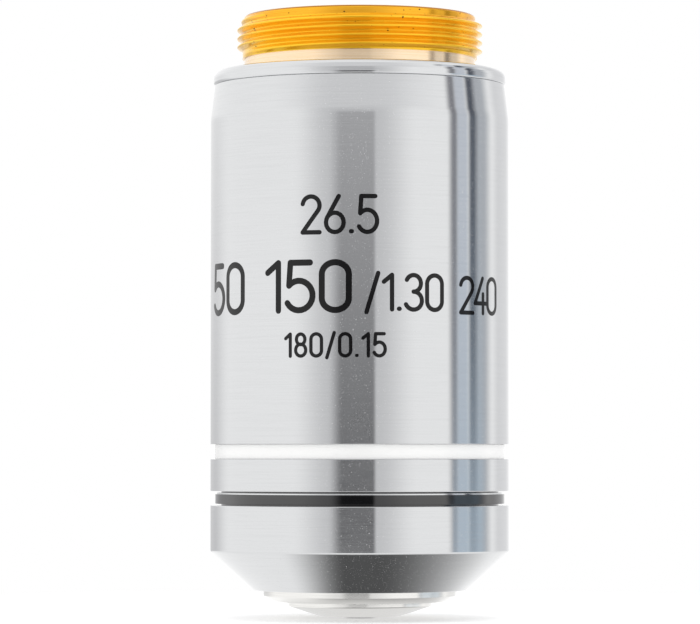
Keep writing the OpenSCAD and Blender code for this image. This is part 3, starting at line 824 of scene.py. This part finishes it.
@dataclass
class Housing:
    """The turned shells that show: sleeve, enamel band, black ring and cap."""

    sleeve: NodeSize = measured("outer_sleeve")
    band: NodeSize = measured("white_band")
    ring: NodeSize = measured("black_ring")
    cap: NodeSize = measured("front_cap")
    sleeve_bore_r: float = 11.07
    groove_depth: float = 0.55
    taper_in: float = 0.35
    taper_h: float = 2.85
    taper_edge: float = 0.25
    turned_edge: float = 0.045
    enamel_edge: float = 0.06
    collar_edge: float = 0.03
    cone_edge: float = 0.1
    cone_lip_edge: float = 0.06
    collar_gap: float = 0.12
    collar_gap_r: float = 11.4
    lip_h: float = 0.13
    lip_r: float = 11.76
    screw_bore_r: float = 9.92
    cone_h: float = 3.2
    cone_lip_r: float = 8.75
    cap_hole_r: float = 8.02
    foot_bore_r: float = 9.0
    floor_h: float = 1.15
    screw_depth: float = 3.42
    wipe: float = 0.02

    def build_sleeve(self) -> None:
        """Turns the sleeve with its tapered top and the groove for the enamel."""
        r = self.sleeve.radius
        low, high = self.sleeve.low, self.sleeve.high
        floor_r = r - self.groove_depth
        mesh = turn(
            Corner(self.sleeve_bore_r, low, self.wipe),
            Corner(r, low, self.turned_edge),
            Corner(r, self.band.low, self.wipe),
            Corner(floor_r, self.band.low),
            Corner(floor_r, self.band.high),
            Corner(r, self.band.high, self.wipe),
            Corner(r, high - self.taper_h, self.taper_edge),
            Corner(r - self.taper_in, high, self.turned_edge),
            Corner(self.sleeve_bore_r, high, self.wipe),
        )
        add_piece(
            "sleeve_shell", mesh, TURNED_CHROME, Body.HOUSING, ["outer_sleeve"]
        )

    def build_band(self) -> None:
        """Fills the groove with enamel, with a soft edge at both sides."""
        floor_r = self.sleeve.radius - self.groove_depth + self.wipe
        mesh = turn(
            Corner(floor_r, self.band.low),
            Corner(self.band.radius, self.band.low, self.enamel_edge),
            Corner(self.band.radius, self.band.high, self.enamel_edge),
            Corner(floor_r, self.band.high),
        )
        add_piece(
            "enamel_band", mesh, WHITE_ENAMEL, Body.HOUSING, ["white_band"]
        )

    def build_ring(self) -> None:
        """Turns the black ring between the sleeve and the cap, with its gaps and bright lip."""
        low = self.ring.low + self.collar_gap
        lip_high = self.ring.high - self.collar_gap
        lip_low = lip_high - self.lip_h
        mesh = turn(
            Corner(self.screw_bore_r, self.ring.low),
            Corner(self.collar_gap_r, self.ring.low),
            Corner(self.collar_gap_r, low),
            Corner(self.ring.radius, low, self.collar_edge),
            Corner(self.ring.radius, lip_low, self.collar_edge),
            Corner(self.lip_r, lip_low),
            Corner(self.lip_r, lip_high, self.collar_edge),
            Corner(self.collar_gap_r, lip_high),
            Corner(self.collar_gap_r, self.ring.high),
            Corner(self.screw_bore_r, self.ring.high),
        )
        add_piece(
            "black_collar", mesh, BLACK_CHROME, Body.HOUSING, ["black_ring"],
            [Patch(POLISHED_CHROME, lip_low, lip_high, self.collar_gap_r, self.ring.radius)],
        )

    def build_cap(self) -> None:
        """Turns the cap with its cone and the floor that stops the lens barrel."""
        r = self.cap.radius
        low, high = self.cap.low, self.cap.high
        screw_low = high - self.screw_depth
        mesh = turn(
            Corner(self.cap_hole_r, low, self.cone_lip_edge),
            Corner(self.cone_lip_r, low, self.cone_lip_edge),
            Corner(r, low + self.cone_h, self.cone_edge),
            Corner(r, high, self.turned_edge),
            Corner(self.screw_bore_r, high, self.wipe),
            Corner(self.screw_bore_r, screw_low),
            Corner(self.foot_bore_r, screw_low),
            Corner(self.foot_bore_r, low + self.floor_h),
            Corner(self.cap_hole_r, low + self.floor_h, self.wipe),
        )
        add_piece("cone_cap", mesh, TURNED_CHROME, Body.HOUSING, ["front_cap"])

    def build(self) -> None:
        """Builds every shell."""
        self.build_sleeve()
        self.build_band()
        self.build_ring()
        self.build_cap()


@dataclass
class ReturnSpring:
    """The compression spring, a round wire with closed ends."""

    room: NodeSize = measured("return_spring")
    wire_d: float = 0.8
    coil_r: float = 8.15
    turns: float = 5.5
    closed_turns: float = 1.0
    closed_pitch: float = 0.824
    steps: int = 48
    wire_sides: int = 16
    travel: float = 1.8

    def build(self) -> None:
        """Sweeps the wire: a closed turn, the open turns and a closed turn."""
        mesh = bmesh.new()
        start = Matrix.Translation((self.coil_r, 0, self.room.low + self.wire_d / 2))
        bmesh.ops.create_circle(
            mesh, cap_ends=False, radius=self.wire_d / 2, segments=self.wire_sides,
            matrix=start @ Matrix.Rotation(math.pi / 2, 4, "X"),
        )
        section = mesh.verts[:] + mesh.edges[:]
        mesh.faces.new(mesh.verts)
        open_turns = self.turns - 2 * self.closed_turns
        open_rise = (
            self.room.high - self.room.low - self.wire_d
            - 2 * self.closed_turns * self.closed_pitch
        )
        stretches = [
            (self.closed_turns, self.closed_pitch),
            (open_turns, open_rise / open_turns),
            (self.closed_turns, self.closed_pitch),
        ]
        for turns, pitch in stretches:
            swept = bmesh.ops.spin(
                mesh, geom=section, cent=(0, 0, 0), axis=(0, 0, 1),
                dvec=(0, 0, pitch / self.steps), angle=2 * math.pi * turns,
                steps=round(turns * self.steps), use_merge=False,
            )
            section = swept["geom_last"]
        end = [e for e in section if isinstance(e, BMEdge)]
        bmesh.ops.contextual_create(mesh, geom=end)
        piece = add_piece(
            "spring_coil", mesh, SPRING_STEEL, Body.HOUSING, ["return_spring"]
        )
        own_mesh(piece)


@dataclass
class FrontEnd:
    """The conical mount at the tip, which holds the front lens."""

    mount: NodeSize = measured("front_mount")
    tip_r: float = 3.3
    cone_h: float = 0.82
    rim_h: float = 0.4
    screw_r: float = 5.4
    pocket_r: float = 4.3
    pocket_low: float = -43.1005
    ball_r: float = 1.52
    ball_z: float = -43.9
    seat_steps: int = 8
    face_edge: float = 0.05
    rim_edge: float = 0.06
    rim_back_edge: float = 0.04

    def build(self) -> None:
        """Turns the low cone that holds the front lens, with its pocket behind."""
        low, high = self.mount.low, self.mount.high
        rim_top = low + self.cone_h + self.rim_h
        rise = self.ball_z - low
        start = math.atan2(-rise, math.sqrt(self.ball_r**2 - rise**2))
        angles = [start * (1 - i / self.seat_steps) for i in range(self.seat_steps + 1)]
        seat = [
            Corner(self.ball_r * math.cos(a), self.ball_z + self.ball_r * math.sin(a))
            for a in angles
        ]
        mesh = turn(
            Corner(self.tip_r, low, self.face_edge),
            Corner(self.mount.radius, low + self.cone_h, self.rim_edge),
            Corner(self.mount.radius, rim_top, self.rim_back_edge),
            Corner(self.screw_r, rim_top),
            Corner(self.screw_r, high),
            Corner(self.pocket_r, high),
            Corner(self.pocket_r, self.pocket_low),
            Corner(self.ball_r, self.pocket_low),
            *seat[::-1],
        )
        add_piece("tip_mount", mesh, NICKEL, Body.BARREL, ["front_mount"])


# ---- Numbers on the sleeve ----


class Arc(NamedTuple):
    """A stretch of an ellipse in a figure, in shares of the figure's height."""

    x: float
    y: float
    rx: float
    ry: float
    start: float
    end: float

    def points(self, steps: int = 20) -> list[Vector]:
        """Divides the arc into short stretches.

        Args:
            steps: how many stretches.

        Returns:
            Their ends.
        """
        sweep = self.end - self.start
        angles = [math.radians(self.start + sweep * i / steps) for i in range(steps + 1)]
        return [
            Vector((self.x + self.rx * math.cos(a), self.y + self.ry * math.sin(a), 0))
            for a in angles
        ]


class Figure(NamedTuple):
    """A drawn figure: its width and its strokes, in shares of its height."""

    width: float
    strokes: tuple


# Single-stroke figures with round ends, as an engraving cutter draws them.
FIGURES = {
    "0": Figure(0.5, ((Arc(0.25, 0.75, 0.25, 0.25, 0, 180),
                       Arc(0.25, 0.25, 0.25, 0.25, 180, 360), (0.5, 0.75)),)),
    "1": Figure(0.26, (((0.0, 0.8), (0.24, 1.0)), ((0.24, 1.0), (0.24, 0.0)))),
    "2": Figure(0.5, ((Arc(0.25, 0.75, 0.25, 0.25, 170, -38), (0.0, 0.0)),
                      ((0.0, 0.0), (0.5, 0.0)))),
    "3": Figure(0.5, ((Arc(0.24, 0.76, 0.23, 0.24, 155, -90),),
                      (Arc(0.24, 0.26, 0.26, 0.26, 90, -155),))),
    "4": Figure(0.52, (((0.36, 1.0), (0.0, 0.28)), ((0.0, 0.28), (0.52, 0.28)),
                       ((0.38, 0.55), (0.38, 0.0)))),
    "5": Figure(0.5, (((0.45, 1.0), (0.06, 1.0)), ((0.06, 1.0), (0.03, 0.52)),
                      (Arc(0.23, 0.31, 0.27, 0.31, 137, -150),))),
    "6": Figure(0.5, ((Arc(0.25, 0.27, 0.25, 0.27, 0, 360),), ((0.36, 1.0), (0.03, 0.4)))),
    "8": Figure(0.5, ((Arc(0.25, 0.76, 0.21, 0.24, 0, 360),),
                      (Arc(0.25, 0.27, 0.25, 0.27, 0, 360),))),
    "/": Figure(0.34, (((0.0, -0.08), (0.34, 1.05)),)),
    ".": Figure(0.06, (((0.02, 0.02), (0.04, 0.02)),)),
    " ": Figure(0.3, ()),
}


@dataclass(frozen=True)
class NumberRow:
    """A row of plain figures, from start to end round the sleeve."""

    text: str
    start: float
    end: float
    base: float
    height: float
    stroke: float
    stretch: float = 1.0


@dataclass
class SleeveNumbers:
    """The figures on the sleeve, engraved and filled with black enamel."""

    sleeve: NodeSize = measured("outer_sleeve")
    proud: float = 0.012
    sunk: float = 0.03
    step: float = 0.3
    cap_steps: int = 8
    rows: tuple[NumberRow, ...] = (
        NumberRow("26.5", -4.7, 1.35, -13.9, 2.86, 0.36),
        NumberRow("50 150", -15.9, -0.9, -20.1, 3.8, 0.5, 1.15),
        NumberRow("/1.30", 0.5, 6.9, -20.05, 2.75, 0.36),
        NumberRow("240", 8.8, 13.6, -20.2, 2.8, 0.34),
        NumberRow("180/0.15", -6.2, 2.0, -23.75, 1.76, 0.28),
    )

    def path(self, stroke: Sequence, row: NumberRow, left: float) -> list[Vector]:
        """Places a stroke of a figure on the unrolled sleeve and divides it finely.

        Args:
            stroke: its arcs and points.
            row: the figure's row.
            left: the figure's left side round the sleeve.

        Returns:
            Points no further apart than the step.
        """
        drawn = []
        for item in stroke:
            drawn += item.points() if isinstance(item, Arc) else [Vector((*item, 0))]
        placed = [
            Vector((left + p.x * row.height * row.stretch, row.base + p.y * row.height, 0))
            for p in drawn
        ]
        fine = [placed[0]]
        for start, end in zip(placed, placed[1:]):
            count = max(1, math.ceil((end - start).length / self.step))
            fine += [start.lerp(end, (i + 1) / count) for i in range(count)]
        return fine

    def lay_stroke(self, mesh: BMesh, path: list[Vector], width: float) -> None:
        """Lays a flat stroke along a path, with round ends.

        Args:
            mesh: the mesh that it goes in.
            path: points along its middle.
            width: its width.
        """
        looped = (path[0] - path[-1]).length < MERGE_DISTANCE
        if looped:
            path = path[:-1]
        count = len(path)
        rails = []
        for i, point in enumerate(path):
            before = path[i - 1] if looped or i else point
            after = path[(i + 1) % count] if looped or i < count - 1 else point
            along = (after - before).normalized()
            side = Vector((-along.y, along.x, 0)) * width / 2
            rails.append((mesh.verts.new(point + side), mesh.verts.new(point - side)))
        pairs = list(zip(rails, rails[1:] + rails[:1] if looped else rails[1:]))
        for (left_a, right_a), (left_b, right_b) in pairs:
            mesh.faces.new((left_a, right_a, right_b, left_b))
        if not looped:
            self.round_end(mesh, path[0], rails[0][0], rails[0][1])
            self.round_end(mesh, path[-1], rails[-1][1], rails[-1][0])

    def round_end(self, mesh: BMesh, centre: Vector, start: BMVert, end: BMVert) -> None:
        """Closes a stroke's end with a half disc, spun from one side to the other.

        Args:
            mesh: the mesh that it goes in.
            centre: the end of the stroke's middle line.
            start: the point that is spun.
            end: the point on the other side.
        """
        before = set(mesh.verts)
        bmesh.ops.spin(
            mesh, geom=[start], cent=centre, axis=(0, 0, 1), dvec=(0, 0, 0), angle=math.pi,
            steps=self.cap_steps, use_merge=False,
        )
        rim = [v for v in mesh.verts if v not in before]
        rim.sort(key=lambda v: (v.co - start.co).length)
        bmesh.ops.delete(mesh, geom=[rim.pop()], context="VERTS")
        mesh.faces.new([start, *rim, end])

    def wrap(self, mesh: BMesh) -> None:
        """Bends the flat figures round the sleeve, whose front faces -Y.

        Args:
            mesh: the figures, which are moved.
        """
        for vert in mesh.verts:
            angle = vert.co.x / self.sleeve.radius
            radius = self.sleeve.radius + vert.co.z
            vert.co = Vector((radius * math.sin(angle), -radius * math.cos(angle), vert.co.y))

    def build(self) -> None:
        """Draws each row, gives it thickness and wraps it."""
        mesh = bmesh.new()
        for row in self.rows:
            figures = [FIGURES[c] for c in row.text]
            widths = [f.width * row.height * row.stretch for f in figures]
            gap = (row.end - row.start - sum(widths)) / (len(figures) - 1)
            left = row.start
            for figure, width in zip(figures, widths):
                for stroke in figure.strokes:
                    self.lay_stroke(mesh, self.path(stroke, row, left), row.stroke)
                left += width + gap
        raised = bmesh.ops.extrude_face_region(mesh, geom=mesh.faces[:])["geom"]
        top = [v for v in raised if isinstance(v, BMVert)]
        bmesh.ops.translate(mesh, verts=mesh.verts, vec=(0, 0, -self.sunk))
        bmesh.ops.translate(mesh, verts=top, vec=(0, 0, self.sunk + self.proud))
        self.wrap(mesh)
        add_piece("sleeve_numbers", mesh, BLACK_FILL, Body.HOUSING)


# ---- Studio ----


@dataclass(frozen=True)
class Flag:
    """A card in the studio that the metal mirrors, by its direction from the object.

    Directions are in degrees: 0 is the camera's side, and 90 its right. The card's edges are soft
    from start to full and from hold to end. Upwards, in degrees above the horizon, it fades in
    from foot to base and out from low to high.
    """

    start: float
    full: float
    hold: float
    end: float
    colour: tuple[float, float, float]
    low: float = 60.0
    high: float = 85.0
    foot: float = -95.0
    base: float = -91.0


@dataclass
class Studio:
    """A plain white studio with a few grey cards, a pale floor and the camera.

    Each limit of the floor's painted shadow goes from none to full, in degrees or in millimetres.
    """

    light: float = 1.12
    soft_light: float = 1.15
    floor_z: float = -45.0
    floor_r: float = 70.0
    floor_sides: int = 96
    floor_fade: float = 35.0
    floor_colour: str = "#f4f4f4"
    floor_lift: float = 0.25
    floor_shine: float = 1.1
    # Painted shadow on the floor, seen only in reflections: close round the axis, and in front of
    # the object
    near_painted_shadow: float = 0.28
    shade_tone: float = 0.9
    shade_left: tuple[float, float] = (-50, -8)
    shade_right: tuple[float, float] = (120, 10)
    shade_near: tuple[float, float] = (6.0, 7.5)
    shade_far: tuple[float, float] = (19.0, 12.5)
    camera_x: float = -0.807
    camera_y: float = -340.0
    camera_z: float = -31.54
    pitch: float = 1.97
    lens: float = 212.3
    sensor: float = 36.0
    flags: tuple[Flag, ...] = (
        # The ceiling above the camera is a little darker than the walls
        Flag(-80, -20, 20, 80, (0.76, 0.76, 0.77), foot=7, base=25),
        # Soft shade at the camera's side of the room, round the gap that the camera looks through
        Flag(-54, -20, 12, 46, (0.66, 0.66, 0.67), low=10, high=25),
        Flag(-25, -13, 9.5, 13.0, (0.04, 0.04, 0.045), low=-1.5, high=7.2),
        # Grey right side of the room, with dark cards in it
        Flag(120, 135, 150, 175, (0.80, 0.80, 0.81)),
        Flag(98, 102, 110, 124, (0.50, 0.52, 0.55), low=35, high=50),
        Flag(78, 82, 89, 93, (0.64, 0.67, 0.73), low=35, high=50),
        Flag(73, 78, 104, 116, (0.45, 0.56, 0.66), low=-0.5, high=1.5, foot=-9, base=-4),
        Flag(90, 95.5, 98, 105, (0.09, 0.10, 0.125), low=35, high=50, foot=-0.9, base=0.9),
        Flag(70, 76.5, 78, 82.5, (0.24, 0.24, 0.26), low=35, high=50, foot=-1.4, base=-0.2),
        # Dimmer far left, low down
        Flag(-178, -166, -150, -118, (0.60, 0.60, 0.61), low=-3, high=10),
    )

    def build_world(self) -> None:
        """Makes the light: white all round, with the cards, and plain white to the camera."""
        world = bpy.data.worlds.new("white_studio")
        bpy.context.scene.world = world
        world.use_nodes = True
        tree = world.node_tree
        tree.nodes.clear()
        direction = add_node(tree, "TexCoord").outputs["Generated"]
        azimuth = azimuth_of(tree, direction)
        up = add_node(tree, "SeparateXYZ", {0: direction}).outputs["Z"]
        rise = add_node(tree, "Math", {0: up}, operation="ARCSINE").outputs[0]
        elevation = add_node(tree, "Math", {0: rise}, operation="DEGREES").outputs[0]
        colour = WHITE
        for flag in self.flags:
            mask = soft_mask(
                tree,
                (azimuth, flag.start, flag.full),
                (azimuth, flag.end, flag.hold),
                (elevation, flag.high, flag.low),
                (elevation, flag.foot, flag.base),
            )
            colour = add_node(
                tree, "Mix", {0: mask, 6: colour, 7: (*flag.colour, 1)}, data_type="RGBA"
            ).outputs[2]
        path = add_node(tree, "LightPath").outputs
        surface = add_node(
            tree, "Background", {"Color": WHITE, "Strength": self.soft_light}
        ).outputs[0]
        for seen, tone, strength in (
            ("Is Glossy Ray", colour, self.light),
            ("Is Camera Ray", WHITE, 1.0),
        ):
            room = add_node(tree, "Background", {"Color": tone, "Strength": strength}).outputs[0]
            surface = add_node(tree, "MixShader", {0: path[seen], 1: surface, 2: room}).outputs[0]
        add_node(tree, "OutputWorld", {"Surface": surface})

    def floor_painted_shade(self, tree: NodeTree, place: NodeSocket, reach: NodeSocket) -> NodeSocket:
        """Adds how bright polished metal sees the floor, with a painted shadow: darker in front
        of the object and close round its axis.

        Args:
            tree: the floor's node tree.
            place: the place on the floor.
            reach: its distance from the axis.

        Returns:
            The brightness, nearly black in front of the object and full behind it.
        """
        azimuth = azimuth_of(tree, place)
        near_start, near_full = (r * MM for r in self.shade_near)
        far_start, far_full = (r * MM for r in self.shade_far)
        # Painted shadow in front of the object
        shade = soft_mask(
            tree,
            (azimuth, *self.shade_left),
            (azimuth, *self.shade_right),
            (reach, near_start, near_full),
            (reach, far_start, far_full),
        )
        # Painted shadow close round the axis, in place of the real one under the object
        near = soft_mask(tree, (reach, near_full, near_start))
        lit = add_node(
            tree, "Math",
            {0: shade, 1: -self.shade_tone * self.floor_shine, 2: self.floor_shine},
            operation="MULTIPLY_ADD",
        ).outputs[0]
        return add_node(
            tree, "Math", {0: near, 1: -self.near_painted_shadow, 2: lit}, operation="MULTIPLY_ADD"
        ).outputs[0]

    def build_floor(self) -> None:
        """Lays the floor just under the tip: white to the camera, where no shadow falls on it."""
        mesh = bmesh.new()
        bmesh.ops.create_circle(
            mesh, cap_ends=True, radius=self.floor_r * MM, segments=self.floor_sides
        )
        data = bpy.data.meshes.new("studio_floor")
        mesh.to_mesh(data)
        mesh.free()
        floor = bpy.data.objects.new("studio_floor", data)
        floor.location.z = self.floor_z * MM
        bpy.context.scene.collection.objects.link(floor)
        material = new_material("white_card")
        tree = material.node_tree
        place = add_node(tree, "TexCoord").outputs["Object"]
        reach = add_node(tree, "VectorMath", {0: place}, operation="LENGTH").outputs["Value"]
        tone = self.floor_painted_shade(tree, place, reach)
        surface = add_node(tree, "BsdfDiffuse", {"Color": linear(self.floor_colour)}).outputs[0]
        # Polished metal sees the floor glowing, with the painted shadow in front of the object
        # and under it
        mirrored = add_node(tree, "Emission", {"Color": WHITE, "Strength": tone})
        lift = add_node(tree, "Emission", {"Color": WHITE, "Strength": self.floor_lift})
        lifted = add_node(tree, "AddShader", {0: surface, 1: lift.outputs[0]})
        path = add_node(tree, "LightPath").outputs
        far = soft_mask(tree, (reach, self.floor_fade * MM, self.floor_r * MM))
        under = add_node(tree, "NewGeometry").outputs["Backfacing"]
        gone = add_node(tree, "Math", {0: far, 1: under}, operation="MAXIMUM").outputs[0]
        for share, shader in (
            (path["Is Glossy Ray"], mirrored),
            (path["Is Camera Ray"], lifted),
            (gone, add_node(tree, "BsdfTransparent")),
        ):
            surface = add_node(
                tree, "MixShader", {0: share, 1: surface, 2: shader.outputs[0]}
            ).outputs[0]
        data.materials.append(close_material(material, surface))

    def build_camera(self) -> None:
        """Sets the camera at the photograph's place and angle."""
        data = bpy.data.cameras.new("camera")
        data.lens = self.lens
        data.sensor_width = self.sensor
        data.clip_start = 0.01
        camera = bpy.data.objects.new("camera", data)
        camera.location = (self.camera_x * MM, self.camera_y * MM, self.camera_z * MM)
        camera.rotation_euler = (math.radians(90 + self.pitch), 0, 0)
        bpy.context.scene.collection.objects.link(camera)
        bpy.context.scene.camera = camera

    def build(self) -> None:
        """Builds the world, the floor and the camera."""
        self.build_world()
        self.build_floor()
        self.build_camera()
        bpy.context.scene.view_settings.view_transform = "Standard"


def main() -> None:
    """Builds the studio and every piece of the objective."""
    logging.basicConfig(level=logging.INFO, format="%(name)s: %(message)s")
    Studio().build()
    dress_nodes()
    MountingThread().build()
    Housing().build()
    ReturnSpring().build()
    FrontEnd().build()
    SleeveNumbers().build()


if __name__ == "__main__":
    main()
